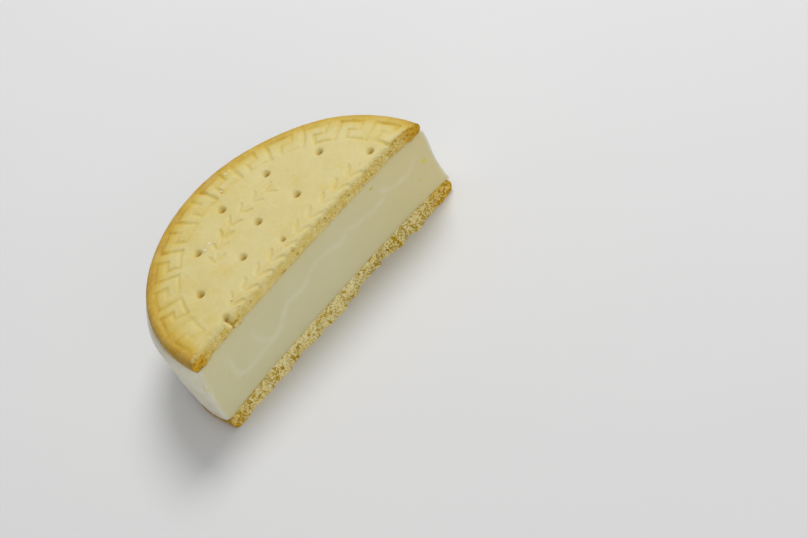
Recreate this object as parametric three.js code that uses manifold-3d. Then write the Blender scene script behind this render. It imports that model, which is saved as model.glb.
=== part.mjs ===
import * as THREE from 'three';
import { ConvexGeometry } from 'three/addons/geometries/ConvexGeometry.js';
import { mergeVertices } from 'three/addons/utils/BufferGeometryUtils.js';
import Module from 'manifold-3d';

// Half of a round ice cream sandwich: two pressed biscuits with a thick layer of ice cream between
// them, cut through the middle with a knife. Millimetres, Z up. It lies flat on its lower biscuit.
// X runs along the cut and Y goes back from the cut face to the round side. Inside this file the
// origin is the middle of the upper biscuit's circle, at the height of the underside; the finished
// group is moved so that its origin is the bottom centre of its box.

// Overall sizes.
const BISCUIT_RADIUS = 45;
const TOTAL_HEIGHT = 28.2;
const CUT_Y = 0.6;
const LAYER_GAP = 0.3;
const TURN_SEGMENTS = 80;

// Each biscuit is a slightly domed disc with a rounded rim.
const UPPER_BISCUIT = { thickness: 4.1, rim: 1.7, dome: 1.0, tilt: 0.55, middleX: 0.2 };
const LOWER_BISCUIT = { thickness: 5.1, rim: 1.7, dome: 1.6, tilt: 0.6, middleX: 1.5 };
const SURFACE_WAVE = 0.12;

// The upper biscuit thins towards its right end, where its top droops.
const DROOP = { from: 34, by: 1.0 };

// The ice cream's round side swells out behind the left end of the cut, and is tucked in at the end
// itself; on the right it flares at the foot and has a slight lip under the upper biscuit.
const CREAM = { middleX: 0.9, radius: 45.1, topRounding: 1.3 };
const LEFT_SIDE = { swell: 4.2, tuck: 3.4, fullest: 0.4, corner: 1.6 };
const RIGHT_SIDE = { flare: 1.4, lip: 0.45, corner: 0.7 };

// The border is a Greek key of pressed lines, with one unit every 15 degrees. Near its left end it is
// a little off the circle, turned back by so many degrees and pushed out.
const KEY = { x: -0.2, y: 0.15, outer: 41.5, middle: 38.2, inner: 34.8 };
const KEY_UNITS = { count: 24, turn: -1.2, hook: 9.7, step: 4.9 };
const KEY_DRAG = { from: 138, to: 156, back: 1.1, out: 0.3 };
const LINE = { mouth: 1.4, bottom: 0.4, depth: 0.4 };

// The baker's docking holes stand on two rings, with one more near the middle.
const DOCK = { mouth: 1.5, tip: 0.4, depth: 2.0 };
const OUTER_DOCKS = { x: 0.5, y: -0.3, radius: 30.45, first: 7.3, step: 29, count: 7 };
const INNER_DOCKS = { x: 0, y: -0.2, radius: 16.9, first: 50.5, step: 42.6, count: 3 };
const MIDDLE_DOCK = { x: -2.9, y: 5.1, scale: 0.7, clear: 2.2 };

// Two laurel branches with leaves in pairs: one beside the cut and one on an arc farther back.
const ROW = { left: -26, y: 3.2, step: 5.2, pairs: 10, length: 5.4, width: 2.3, lean: 38, stem: 0.7 };
const ARC = { radius: 24.3, left: 134, step: 10.5, pairs: 7, length: 4.3, width: 1.9, lean: 38, stem: 0.6 };
const LEAF = { depth: 0.42, flare: 1.15 };

// How far the tools that press and prick the top reach above it.
const ABOVE = 0.2;

// The knife leaves crumb faces: fine on the upper biscuit, torn and chipped on the lower one.
const UPPER_CRUMB = { columns: 64, rows: 3, grain: 0.22, bevel: 0.45 };
const UPPER_CHIPS = [{ x: -45, out: 0.7, reach: 6 }, { x: 44, out: 0.8, reach: 5 }];
const LOWER_CRUMB = { columns: 88, rows: 4, grain: 0.2 };
// How far forward of the cut the torn edge of the lower biscuit's underside stands, as [x, out].
const LOWER_EDGE = [
  [-44, 1.2], [-41.3, 1.65], [-38.4, 1.2], [-35.3, 0.5], [-32, 1], [-26, 0.85], [-22.2, 1.3], [-20, 0.5],
  [-15, -0.4], [-11.8, 0.3], [-7, 0.2], [-4.7, 1.1], [-2.5, 0.45], [0.3, 1.1], [2, 0.2], [5.9, 0.5],
  [7.8, -0.8], [14.8, -1], [16.2, -0.4], [17.4, -1.7], [19, -1.5], [21.8, 0.1], [24.6, 0.5], [28, -0.2],
  [30.7, 1.3], [34, 0.6], [38.8, 0.3], [41.7, 0.7], [44.1, 0.2],
];

const COLOURS = { upper: 0xdfcd86, cream: 0xe9e8d8, lower: 0xd3b76c };

const wasm = await Module();
wasm.setup();

const radians = THREE.MathUtils.degToRad;

function seededRandom(seed) {
  let state = seed;
  return () => {
    state = (state * 1664525 + 1013904223) % 4294967296;
    return state / 4294967296;
  };
}

// Height of a biscuit's face above that of its middle: it sinks towards the rim and tips along X.
function bend(biscuit, x, y) {
  const across = (x - biscuit.middleX) / BISCUIT_RADIUS;
  const away = Math.hypot(across, y / BISCUIT_RADIUS);
  return -biscuit.dome * away ** 3 + biscuit.tilt * across;
}

function wave(x, y) {
  return SURFACE_WAVE * (Math.sin(x / 7.3 + 1.1) * Math.cos(y / 6.1) + Math.sin(x / 13 - y / 9));
}

function upperTop(x, y) {
  const droop = DROOP.by * Math.max(0, (x - DROOP.from) / (BISCUIT_RADIUS - DROOP.from)) ** 2;
  return TOTAL_HEIGHT + bend(UPPER_BISCUIT, x, y) + wave(x, y) - droop;
}

const upperUnderside = (x, y) => TOTAL_HEIGHT - UPPER_BISCUIT.thickness + bend(UPPER_BISCUIT, x, y);
const lowerTop = (x, y) => LOWER_BISCUIT.thickness + bend(LOWER_BISCUIT, x, y);
const lowerUnderside = () => 0;

// A point on a circle, at an angle in degrees anticlockwise from +X.
function onCircle(radius, degrees, x = 0, y = 0) {
  const turn = radians(degrees);
  return new THREE.Vector2(x + radius * Math.cos(turn), y + radius * Math.sin(turn));
}

// A closed three.js geometry as a solid that can be joined and cut.
function solid(geometry) {
  geometry.deleteAttribute('normal');
  geometry.deleteAttribute('uv');
  const merged = mergeVertices(geometry, 1e-4);
  const corners = merged.index.array;
  const kept = [];
  for (let i = 0; i < corners.length; i += 3) {
    const [a, b, c] = corners.slice(i, i + 3);
    if (a !== b && b !== c && c !== a) kept.push(a, b, c);
  }
  const vertProperties = new Float32Array(merged.attributes.position.array);
  return new wasm.Manifold(new wasm.Mesh({ numProp: 3, vertProperties, triVerts: new Uint32Array(kept) }));
}

function mesh(body, name, colour, roughness) {
  const shape = body.getMesh();
  const geometry = new THREE.BufferGeometry();
  geometry.setAttribute('position', new THREE.BufferAttribute(new Float32Array(shape.vertProperties), 3));
  geometry.setIndex(new THREE.BufferAttribute(new Uint32Array(shape.triVerts), 1));
  geometry.computeVertexNormals();
  const result = new THREE.Mesh(
    geometry,
    new THREE.MeshStandardMaterial({ color: colour, roughness, metalness: 0 }),
  );
  result.name = name;
  return result;
}

// Turns a profile of (reach, level) points round the axis and lets place() set each vertex.
function turned(profile, place) {
  const geometry = new THREE.LatheGeometry(profile, TURN_SEGMENTS);
  const position = geometry.attributes.position;
  for (let i = 0; i < position.count; i += 1) {
    const reach = Math.hypot(position.getX(i), position.getZ(i));
    const angle = Math.atan2(-position.getZ(i), position.getX(i));
    const [x, y, z] = place(reach, angle, position.getY(i));
    position.setXYZ(i, x, y, z);
  }
  return solid(geometry);
}

// Joins rings of corners, each [x, y, z], one after another into a solid with flat ends.
function loft(rings) {
  const sides = rings[0].length;
  const last = (rings.length - 1) * sides;
  const faces = [];
  for (let start = 0; start < last; start += sides) {
    for (let k = 0; k < sides; k += 1) {
      const a = start + k;
      const b = start + ((k + 1) % sides);
      faces.push(a, b, b + sides, a, b + sides, a + sides);
    }
  }
  for (let k = 1; k + 1 < sides; k += 1) {
    faces.push(0, k + 1, k, last, last + k, last + k + 1);
  }
  const geometry = new THREE.BufferGeometry();
  geometry.setAttribute('position', new THREE.BufferAttribute(new Float32Array(rings.flat(2)), 3));
  geometry.setIndex(faces);
  return solid(geometry);
}

// A whole biscuit: levels run from -1 on the underside to 1 on top, round the nose of the rim.
function wholeBiscuit(biscuit, underside, top) {
  const shoulder = BISCUIT_RADIUS - biscuit.rim;
  const flat = [0, 0.3, 0.55, 0.75, 0.9, 1].map((share) => share * shoulder);
  const profile = flat.map((reach) => new THREE.Vector2(reach, -1));
  const noseSteps = 6;
  for (let i = 1; i < noseSteps; i += 1) {
    const turn = radians(-90 + (180 * i) / noseSteps);
    profile.push(new THREE.Vector2(shoulder + biscuit.rim * Math.cos(turn), Math.sin(turn)));
  }
  flat.reverse().forEach((reach) => profile.push(new THREE.Vector2(reach, 1)));
  return turned(profile, (reach, angle, level) => {
    const x = biscuit.middleX + reach * Math.cos(angle);
    const y = reach * Math.sin(angle);
    const middle = (top(x, y) + underside(x, y)) / 2;
    const half = (top(x, y) - underside(x, y)) / 2;
    return [x, y, middle + half * level];
  });
}

// Everything behind a front face that stands at CUT_Y + relief(x, z, column, row).
function behind(columns, rows, low, high, relief) {
  const width = 2 * BISCUIT_RADIUS + 8;
  const depth = BISCUIT_RADIUS + 10;
  const geometry = new THREE.BoxGeometry(width, depth, high - low, columns, 1, rows);
  geometry.translate(0, depth / 2, (high + low) / 2);
  const position = geometry.attributes.position;
  for (let i = 0; i < position.count; i += 1) {
    if (position.getY(i) > depth / 2) continue;
    const x = position.getX(i);
    const z = position.getZ(i);
    const column = Math.round((x / width + 0.5) * columns);
    const row = Math.round(((z - low) / (high - low)) * rows);
    position.setY(i, CUT_Y + relief(x, z, column, row));
  }
  return solid(geometry);
}

// One random value between -1 and 1 for each corner of a crumb face's grid.
function crumbGrid(columns, rows, seed) {
  const random = seededRandom(seed);
  const values = Array.from({ length: (columns + 1) * (rows + 1) }, () => 2 * random() - 1);
  return (column, row) => values[column * (rows + 1) + row];
}

// How far the pieces that stand proud shift a cut face at x.
function chipped(chips, x) {
  return chips.reduce((sum, chip) => sum - chip.out * Math.exp(-(((x - chip.x) / chip.reach) ** 2)), 0);
}

// The second number of a table at x, in a straight line between its neighbours.
function between(table, x) {
  const next = table.findIndex((pair) => pair[0] > x);
  if (next <= 0) return table.at(next)[1];
  const [before, after] = [table[next - 1], table[next]];
  return THREE.MathUtils.mapLinear(x, before[0], after[0], before[1], after[1]);
}

function cutUpper() {
  const { columns, rows, grain, bevel } = UPPER_CRUMB;
  const crumb = crumbGrid(columns, rows, 11);
  const low = TOTAL_HEIGHT - UPPER_BISCUIT.thickness - 3;
  const high = TOTAL_HEIGHT + 1;
  return behind(columns, rows, low, high, (x, z, column, row) => {
    const rounded = (bevel * Math.max(0, row - rows + 2)) / 2;
    return chipped(UPPER_CHIPS, x) + rounded + grain * crumb(column, row);
  });
}

function cutLower() {
  const { columns, rows, grain } = LOWER_CRUMB;
  const crumb = crumbGrid(columns, rows, 5);
  const high = LOWER_BISCUIT.thickness + 1;
  return behind(columns, rows, -1, high, (x, z, column, row) => {
    const share = Math.max(0, 1 - z / LOWER_BISCUIT.thickness);
    return grain * (0.4 + share) * crumb(column, row) - share * between(LOWER_EDGE, x);
  });
}

// One pressed line along a path on the plan, following the upper biscuit's top.
function pressedLine(path, scale) {
  const last = path.length - 1;
  const wide = LINE.mouth + (ABOVE * (LINE.mouth - LINE.bottom)) / LINE.depth;
  return loft(path.map((point, i) => {
    const arrive = point.clone().sub(path[Math.max(0, i - 1)]).normalize();
    const leave = path[Math.min(last, i + 1)].clone().sub(point).normalize();
    const along = arrive.clone().add(leave).normalize();
    const mitre = scale / Math.max(0.5, along.dot(arrive), along.dot(leave));
    const side = new THREE.Vector2(-along.y, along.x).multiplyScalar(mitre);
    const corner = (offset, rise) => {
      const spot = point.clone().addScaledVector(side, offset);
      return [spot.x, spot.y, upperTop(spot.x, spot.y) + rise];
    };
    return [
      corner(LINE.bottom / 2, -LINE.depth * scale),
      corner(wide / 2, ABOVE * scale),
      corner(-wide / 2, ABOVE * scale),
      corner(-LINE.bottom / 2, -LINE.depth * scale),
    ];
  }));
}

// The Greek key as one line that winds round the border, from past one end of the cut to the other.
function keyBorder() {
  const pitch = 360 / KEY_UNITS.count;
  const path = [];
  const go = (radius, degrees) => {
    const drag = THREE.MathUtils.smoothstep(degrees, KEY_DRAG.from, KEY_DRAG.to);
    const angle = degrees + KEY_UNITS.turn - KEY_DRAG.back * drag;
    path.push(onCircle(radius + KEY_DRAG.out * drag, angle, KEY.x, KEY.y));
  };
  for (let start = 180 + pitch; start > -pitch; start -= pitch) {
    const hook = start - KEY_UNITS.hook;
    const step = start - KEY_UNITS.step;
    go(KEY.inner, start);
    go(KEY.outer, start);
    go(KEY.outer, (start + hook) / 2);
    go(KEY.outer, hook);
    go(KEY.middle, hook);
    go(KEY.middle, step);
    go(KEY.inner, step);
    go(KEY.inner, (step + start - pitch) / 2);
  }
  return pressedLine(path, 1);
}

// A leaf's print about a middle point, deepest along its rib, heading along an angle in radians.
function leaf(middle, heading, length, width) {
  const points = [];
  const put = (along, across, rise) => {
    const spot = new THREE.Vector2(along * length, across * width);
    spot.rotateAround(new THREE.Vector2(), heading).add(middle);
    points.push(new THREE.Vector3(spot.x, spot.y, upperTop(spot.x, spot.y) + rise));
  };
  put(-0.5 * LEAF.flare, 0, ABOVE);
  put(0.5 * LEAF.flare, 0, ABOVE);
  for (const side of [-1, 1]) {
    put(-0.15, 0.5 * LEAF.flare * side, ABOVE);
    put(0.2, 0.4 * LEAF.flare * side, ABOVE);
  }
  put(-0.25, 0, -LEAF.depth);
  put(0.28, 0, -LEAF.depth);
  return solid(new ConvexGeometry(points));
}

// A branch: a stem through the given points, and a pair of leaves from each of them but the last.
function branch(stem, size) {
  const dock = new THREE.Vector2(MIDDLE_DOCK.x, MIDDLE_DOCK.y);
  const parts = [pressedLine(stem, size.stem)];
  for (let i = 0; i + 1 < stem.length; i += 1) {
    const heading = stem[i + 1].clone().sub(stem[i]).angle();
    for (const lean of [-size.lean, size.lean]) {
      const turn = heading + radians(lean);
      const middle = new THREE.Vector2(size.length / 2, 0).rotateAround(new THREE.Vector2(), turn);
      middle.add(stem[i]);
      if (middle.distanceTo(dock) > MIDDLE_DOCK.clear) {
        parts.push(leaf(middle, turn, size.length, size.width));
      }
    }
  }
  return parts;
}

function laurels() {
  const row = [];
  for (let i = 0; i <= ROW.pairs; i += 1) row.push(new THREE.Vector2(ROW.left + i * ROW.step, ROW.y));
  const arc = [];
  for (let i = 0; i <= ARC.pairs; i += 1) arc.push(onCircle(ARC.radius, ARC.left - i * ARC.step));
  return [...branch(row, ROW), ...branch(arc, ARC)];
}

// A tapered hole pricked down into the upper biscuit at (x, y).
function dockingHole(x, y, scale) {
  const slope = (DOCK.mouth - DOCK.tip) / DOCK.depth;
  const rim = (DOCK.mouth + slope * ABOVE) * scale;
  const tall = DOCK.depth * scale + ABOVE;
  const cone = new THREE.CylinderGeometry(rim, DOCK.tip * scale, tall, 8);
  cone.rotateX(Math.PI / 2);
  cone.translate(x, y, upperTop(x, y) + ABOVE - tall / 2);
  return solid(cone);
}

function dockingHoles() {
  const holes = [dockingHole(MIDDLE_DOCK.x, MIDDLE_DOCK.y, MIDDLE_DOCK.scale)];
  for (const ring of [OUTER_DOCKS, INNER_DOCKS]) {
    for (let i = 0; i < ring.count; i += 1) {
      const spot = onCircle(ring.radius, ring.first + i * ring.step, ring.x, ring.y);
      holes.push(dockingHole(spot.x, spot.y, 1));
    }
  }
  return holes;
}

function upperBiscuit() {
  let body = wholeBiscuit(UPPER_BISCUIT, upperUnderside, upperTop);
  for (const tool of [keyBorder(), ...laurels(), ...dockingHoles()]) body = body.subtract(tool);
  return mesh(body.intersect(cutUpper()), 'biscuit_top', COLOURS.upper, 0.8);
}

function lowerBiscuit() {
  const body = wholeBiscuit(LOWER_BISCUIT, lowerUnderside, lowerTop);
  return mesh(body.intersect(cutLower()), 'biscuit_bottom', COLOURS.lower, 0.9);
}

// Reach of the ice cream's round side at an angle and at a level from 0 at its foot to 1 at its top.
function creamReach(angle, level) {
  const right = (1 + Math.cos(angle)) / 2;
  const leftward = Math.max(0, -Math.cos(angle));
  const aside = Math.abs(Math.sin(angle));
  const flare = RIGHT_SIDE.flare * (1 - level) ** 4;
  const lip = RIGHT_SIDE.lip * THREE.MathUtils.smoothstep(level, 0.4, 0.75);
  const swell = LEFT_SIDE.swell * Math.sqrt(aside) * leftward * (0.15 + 0.85 * level);
  const tuck = LEFT_SIDE.tuck * leftward * (1 - aside) ** 4 * (level - LEFT_SIDE.fullest) ** 2;
  const rounding = CREAM.topRounding * Math.max(0, (level - 0.88) / 0.12) ** 2;
  return CREAM.radius + right * (flare + lip) + swell - tuck - rounding;
}

// A point of the ice cream at a share of its reach, an angle, and a level.
function creamPoint(share, angle, level) {
  const reach = share * creamReach(angle, level);
  const x = CREAM.middleX + reach * Math.cos(angle);
  const y = reach * Math.sin(angle);
  const foot = lowerTop(x, y) + LAYER_GAP;
  const head = upperUnderside(x, y) - LAYER_GAP;
  return [x, y, foot + level * (head - foot)];
}

// What the rounding of an upright edge of the cut face takes away; side is -1 left or 1 right.
function creamCorner(side, radius) {
  const angle = side > 0 ? 0 : Math.PI;
  return loft([-0.1, 0, 0.1, 0.25, 0.4, 0.55, 0.7, 0.85, 0.93, 1, 1.1].map((level) => {
    const within = THREE.MathUtils.clamp(level, 0, 1);
    const [end, , surface] = creamPoint(1, angle, within);
    const height = surface + (level - within) * TOTAL_HEIGHT;
    const inner = end - side * radius;
    const rounded = [0, 22.5, 45, 67.5, 90].map((degrees) => {
      const spot = onCircle(radius, -degrees);
      return [inner + side * spot.x, CUT_Y + radius + spot.y, height];
    });
    const ring = [[end + side, CUT_Y + radius, height], ...rounded, [inner, CUT_Y - 1, height]];
    if (side < 0) ring.reverse();
    return [[end + side, CUT_Y - 1, height], ...ring];
  }));
}

function iceCream() {
  const shares = [0, 0.35, 0.7, 0.9];
  const levels = [0, 0.08, 0.2, 0.35, 0.5, 0.65, 0.78, 0.88, 0.95, 1];
  const profile = [
    ...shares.map((share) => new THREE.Vector2(share, 0)),
    ...levels.map((level) => new THREE.Vector2(1, level)),
    ...shares.reverse().map((share) => new THREE.Vector2(share, 1)),
  ];
  const front = behind(40, 4, 0, TOTAL_HEIGHT, (x, z) => 0.1 * Math.sin(x / 6 + z / 5));
  const body = turned(profile, creamPoint)
    .intersect(front)
    .subtract(creamCorner(-1, LEFT_SIDE.corner))
    .subtract(creamCorner(1, RIGHT_SIDE.corner));
  return mesh(body, 'ice_cream', COLOURS.cream, 0.45);
}

const sandwich = new THREE.Group();
sandwich.add(lowerBiscuit(), iceCream(), upperBiscuit());

// Puts the origin at the bottom centre of the box round the whole half.
const bounds = new THREE.Box3().setFromObject(sandwich);
const middle = bounds.getCenter(new THREE.Vector3());
sandwich.position.set(-middle.x, -middle.y, -bounds.min.z);

export default sandwich;
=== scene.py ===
import math

import bmesh
import bpy
import numpy as np
from mathutils import Matrix, Vector


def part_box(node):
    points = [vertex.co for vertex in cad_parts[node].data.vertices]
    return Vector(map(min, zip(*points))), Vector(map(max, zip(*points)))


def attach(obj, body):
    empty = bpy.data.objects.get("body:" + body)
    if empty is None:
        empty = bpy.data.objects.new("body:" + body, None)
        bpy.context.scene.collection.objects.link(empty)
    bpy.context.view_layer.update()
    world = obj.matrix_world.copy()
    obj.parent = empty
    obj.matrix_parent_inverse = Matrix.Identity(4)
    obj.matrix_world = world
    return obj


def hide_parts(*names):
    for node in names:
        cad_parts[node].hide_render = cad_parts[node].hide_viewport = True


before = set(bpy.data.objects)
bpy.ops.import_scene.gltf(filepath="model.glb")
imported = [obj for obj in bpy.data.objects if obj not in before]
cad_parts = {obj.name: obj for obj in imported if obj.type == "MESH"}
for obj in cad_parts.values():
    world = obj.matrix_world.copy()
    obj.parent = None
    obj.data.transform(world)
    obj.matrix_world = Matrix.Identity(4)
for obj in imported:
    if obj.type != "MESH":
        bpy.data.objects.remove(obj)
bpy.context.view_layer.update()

# Half of a round ice cream sandwich, lying on its lower biscuit. Shapes are worked out in
# millimetres about the middle of the upper biscuit's circle, as the CAD source does, and then
# moved into the frame by ORIGIN. X runs along the cut and Y goes back from the cut face.
MM = 0.001
RADIUS = 45.0
HEIGHT = 28.2
CUT_Y = 0.6
# "rim" is the radius of the rounded edge, "middle" the x of the circle's middle, and "spread" how
# far the rim bulges out round SPREAD, which is in degrees.
UPPER = {"thickness": 4.1, "rim": 1.7, "dome": 1.0, "tilt": 0.55, "middle": 0.2, "spread": 0}
LOWER = {"thickness": 5.1, "rim": 1.7, "dome": 1.6, "tilt": 0.6, "middle": 1.5, "spread": 0.9}
SPREAD = {"at": 165, "width": 9}
# The upper biscuit sinks at its right end.
DROOP = {"from": 34.0, "by": 1.0}

upper_low, upper_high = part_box("biscuit_top")
ORIGIN = np.array(
    [upper_low[0] / MM + RADIUS - UPPER["middle"], upper_high[1] / MM - RADIUS, 0.0]
)


# ---------------------------------------------------------------- numbers

def smooth(x, low, high):
    """0 below low, 1 above high and an S-curve between."""
    t = np.clip((x - low) / (high - low), 0, 1)
    return t * t * (3 - 2 * t)


def hashed(x, y, z, seed):
    """A random value from 0 to 1 for each whole-numbered place."""
    mixed = (x * 73856093) ^ (y * 19349663) ^ (z * 83492791) ^ (seed * 40503)
    mixed = (mixed ^ (mixed >> 13)) * 1274126177
    return ((mixed ^ (mixed >> 16)) & 0xFFFF) / 65535


def noise(p, size, seed):
    """Smooth noise from -1 to 1 at each row of p, with lumps about size across."""
    q = p / size
    cell = np.floor(q).astype(np.int64)
    part = q - cell
    part = part * part * (3 - 2 * part)
    total = np.zeros(len(p))
    for corner in np.ndindex(2, 2, 2):
        weight = np.ones(len(p))
        for axis in range(3):
            weight *= part[:, axis] if corner[axis] else 1 - part[:, axis]
        x, y, z = (cell + np.array(corner)).T
        total += weight * 2 * hashed(x, y, z, seed)
    return total - 1


def fractal(p, size, octaves, seed):
    """Noise in octaves, each half as large and half as strong as the one before."""
    total = np.zeros(len(p))
    for k in range(octaves):
        total += noise(p, size / 2**k, seed + k) / 2**k
    return total


def line_noise(x, size, seed):
    return noise(np.stack([x, 0 * x, 0 * x], 1), size, seed)


def cells(x, z, size, seed):
    """How far each point is from the border of its random cell, and the cell's random value."""
    gx, gz = x / size, z / size
    cx, cz = np.floor(gx).astype(np.int64), np.floor(gz).astype(np.int64)
    best, second, value = np.full(x.shape, 9.0), np.full(x.shape, 9.0), np.zeros(x.shape)
    for dx, dz in np.ndindex(3, 3):
        ix, iz = cx + dx - 1, cz + dz - 1
        px, pz = ix + hashed(ix, iz, 0 * ix, seed), iz + hashed(ix, iz, 0 * ix + 1, seed)
        d = np.hypot(gx - px, gz - pz)
        nearer = d < best
        second = np.where(nearer, best, np.minimum(second, d))
        value = np.where(nearer, hashed(ix, iz, 0 * ix + 2, seed), value)
        best = np.minimum(best, d)
    return (second - best) * size, value


def distance_to_lines(x, y, lines):
    best = np.full(x.shape, 1e9)
    for (ax, ay), (bx, by) in lines:
        dx, dy = bx - ax, by - ay
        t = np.clip(((x - ax) * dx + (y - ay) * dy) / (dx * dx + dy * dy), 0, 1)
        best = np.minimum(best, np.hypot(x - ax - t * dx, y - ay - t * dy))
    return best


# ---------------------------------------------------------------- biscuit faces

def bend(shape, x, y):
    """How far a biscuit's dome and tilt lift it at each point."""
    across = (x - shape["middle"]) / RADIUS
    away = np.hypot(across, y / RADIUS)
    return -shape["dome"] * away**3 + shape["tilt"] * across


def wave(x, y):
    """Slow unevenness of the upper biscuit's top."""
    return 0.12 * (np.sin(x / 7.3 + 1.1) * np.cos(y / 6.1) + np.sin(x / 13 - y / 9))


def upper_top(x, y):
    droop = DROOP["by"] * np.maximum(0, (x - DROOP["from"]) / (RADIUS - DROOP["from"])) ** 2
    return HEIGHT + bend(UPPER, x, y) + wave(x, y) - droop


def upper_under(x, y):
    return HEIGHT - UPPER["thickness"] + bend(UPPER, x, y)


def lower_top(x, y):
    return LOWER["thickness"] + bend(LOWER, x, y)


def lower_under(x, y):
    """The lower biscuit lies flat on the floor."""
    return 0 * x


def on_circle(radius, degrees, x=0.0, y=0.0):
    turn = math.radians(degrees)
    return (x + radius * math.cos(turn), y + radius * math.sin(turn))


# The border is a Greek key of pressed lines, with one unit every KEY_UNIT degrees. KEY_TURN turns
# it as a whole, and KEY_HOOK and KEY_STEP are where a unit's lines turn, in degrees.
KEY = {"x": -0.2, "y": 0.15, "outer": 41.5, "middle": 38.2, "inner": 34.8}
KEY_START = 195
KEY_COUNT = 14
KEY_UNIT = 15
KEY_TURN = -1.2
KEY_HOOK = 9.7
KEY_STEP = 4.9
# Depths of the lines that run outward and of those along the rim, and how the wear changes them
# by the angle in degrees.
KEY_DEEP = (0.34, 0.27)
KEY_WEAR = [(0, 1.5), (30, 1.5), (45, 1.05), (60, 1.0), (80, 1.3), (112, 1.6), (135, 1.0),
            (150, 0.9), (165, 0.75), (180, 0.7)]
# Towards the left the border is dragged back by some degrees and out by some millimetres.
KEY_DRAG = {"from": 138, "to": 156, "back": 1.1, "out": 0.3}


def path_lines(path):
    return list(zip(path[:-1], path[1:]))


def key_path():
    """The border's line as (distance from the middle, point) pairs."""
    path = []
    for unit in range(KEY_COUNT):
        start = KEY_START - KEY_UNIT * unit
        corners = [
            (KEY["inner"], start), (KEY["outer"], start), (KEY["outer"], start - KEY_HOOK / 2),
            (KEY["outer"], start - KEY_HOOK), (KEY["middle"], start - KEY_HOOK),
            (KEY["middle"], start - KEY_STEP), (KEY["inner"], start - KEY_STEP),
            (KEY["inner"], start - (KEY_STEP + KEY_UNIT) / 2),
        ]
        for r, a in corners:
            drag = float(smooth(a, KEY_DRAG["from"], KEY_DRAG["to"]))
            turned = a + KEY_TURN - KEY_DRAG["back"] * drag
            path.append((r, on_circle(r + KEY_DRAG["out"] * drag, turned, KEY["x"], KEY["y"])))
    return path


def key_lines():
    """The border's lines that run outward, and those that run along the rim."""
    outward, along = [], []
    for (r, a), (s, b) in path_lines(key_path()):
        (along if r == s else outward).append((a, b))
    return outward, along


# The docking holes as (x, y, scale): an outer and an inner ring, one in the middle, and one that
# the cut goes through. They slope towards DOCK_HEADING, and DOCK_REACH is their half length
# behind and in front and their half width.
MIDDLE_DOCK = (-2.9, 5.1)
CUT_DOCK = (-29.2, 0.6)
DOCKS = [on_circle(30.45, 7.3 + 29 * i, 0.5, -0.3) + (1.0,) for i in range(6)]
DOCKS += [on_circle(16.9, 50.5 + 42.6 * i, 0, -0.2) + (1.0,) for i in range(3)]
DOCKS += [MIDDLE_DOCK + (0.7,), CUT_DOCK + (1.0,)]
DOCK_HEADING = (0.35, 0.94)
DOCK_REACH = {"behind": 2.4, "front": 1.15, "side": 1.45}


def dock_press(x, y):
    """Depth of the docking holes, steep in front and sloping behind, and how deep inside a hole
    each point is, from 0 to 1."""
    hx, hy = DOCK_HEADING
    depth, hole = np.zeros(x.shape), np.zeros(x.shape)
    for dx, dy, scale in DOCKS:
        far = (x - dx) * hx + (y - dy) * hy
        aside = (x - dx) * hy - (y - dy) * hx
        reach = np.where(far > 0, DOCK_REACH["behind"], DOCK_REACH["front"])
        d = np.hypot(far / reach, aside / DOCK_REACH["side"]) / scale
        prick = np.clip(1 - d, 0, 1)
        dish = np.exp(-((d / 1.6) ** 2)) * (0.35 + 0.65 * smooth(far, -0.8, 0.6))
        depth = np.maximum(depth, scale * (1.7 * prick**1.6 * (1.6 - 0.6 * prick) + 0.4 * dish))
        hole = np.maximum(hole, prick)
    return depth, hole


# Two laurel branches with leaves in pairs: one beside the cut and one on an arc farther back.
ROW = {"length": 5.4, "width": 2.3, "lean": 38}
ARC = {"length": 4.3, "width": 1.9, "lean": 38}
ROW_Y = 3.2
ROW_STEM = [(-26 + 5.2 * i, ROW_Y) for i in range(11)]
ARC_STEM = [on_circle(24.3, 134 - 10.5 * i) for i in range(8)]
# No leaf's middle is nearer to the middle dock than this.
LEAF_CLEAR = 2.2
# The border's marks lie outside this radius and the branches inside it.
BORDER_FROM = 33


def leaf_press(x, y, middle, turn, size):
    """Depth of one leaf's print, deepest along its rib."""
    u = (x - middle[0]) * math.cos(turn) + (y - middle[1]) * math.sin(turn)
    v = (y - middle[1]) * math.cos(turn) - (x - middle[0]) * math.sin(turn)
    along = np.clip(2 * u / size["length"], -1, 1)
    half = 0.55 * size["width"] * (1 - along**2) ** 0.8 * (1 - 0.18 * along) + 1e-6
    inside = np.clip(np.abs(v) / half, 0, 1)
    return 0.36 * (1 - smooth(inside, 0.1, 1)) * smooth(1 - np.abs(along), 0, 0.35)


def branch_press(x, y, stem, size):
    """Depth of a stem and its pairs of leaves."""
    press = 0.2 * (1 - smooth(distance_to_lines(x, y, path_lines(stem)), 0.1, 0.6))
    for (ax, ay), (bx, by) in path_lines(stem):
        heading = math.atan2(by - ay, bx - ax)
        for lean in (-size["lean"], size["lean"]):
            turn = heading + math.radians(lean)
            reach = size["length"] / 2
            middle = (ax + reach * math.cos(turn), ay + reach * math.sin(turn))
            if math.dist(middle, MIDDLE_DOCK) > LEAF_CLEAR:
                press = np.maximum(press, leaf_press(x, y, middle, turn, size))
    return press


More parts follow.
